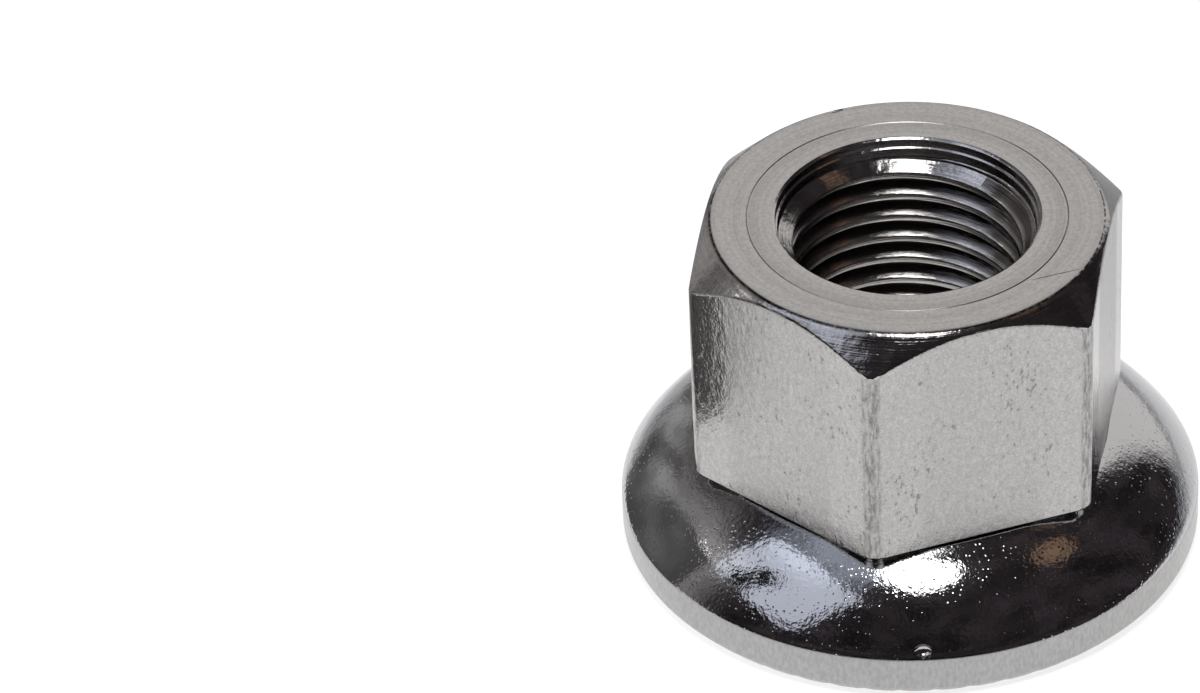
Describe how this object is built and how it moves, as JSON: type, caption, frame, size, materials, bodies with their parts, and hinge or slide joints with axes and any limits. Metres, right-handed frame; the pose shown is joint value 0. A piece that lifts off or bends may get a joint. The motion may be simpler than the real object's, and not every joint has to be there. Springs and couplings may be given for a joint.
{
  "type": "threaded nut",
  "caption": "Hexagon nut with a fine thread, on whose spigot a domed washer with a serrated underside turns freely.",
  "frame": {"origin": "on the thread's axis, in the plane of the washer's tooth crests, on which the nut stands", "axes": "+Z along the thread, from the washer towards the hexagon's outer face; +X square to one of the hexagon's flats, with a corner towards -Y"},
  "size_m": [0.022, 0.022, 0.0141],
  "materials": {
    "plated_steel": "satin nickel plate",
    "bright_chrome": "mirror polished"
  },
  "bodies": {
    "nut": {"nut": "plated_steel"},
    "washer": {"captive_washer": "bright_chrome"}
  },
  "joints": [
    {"name": "washer_turn", "type": "hinge", "parent": "nut", "child": "washer", "pos_m": [0, 0, 0.003], "axis": [0, 0, 1], "continuous": true}
  ]
}
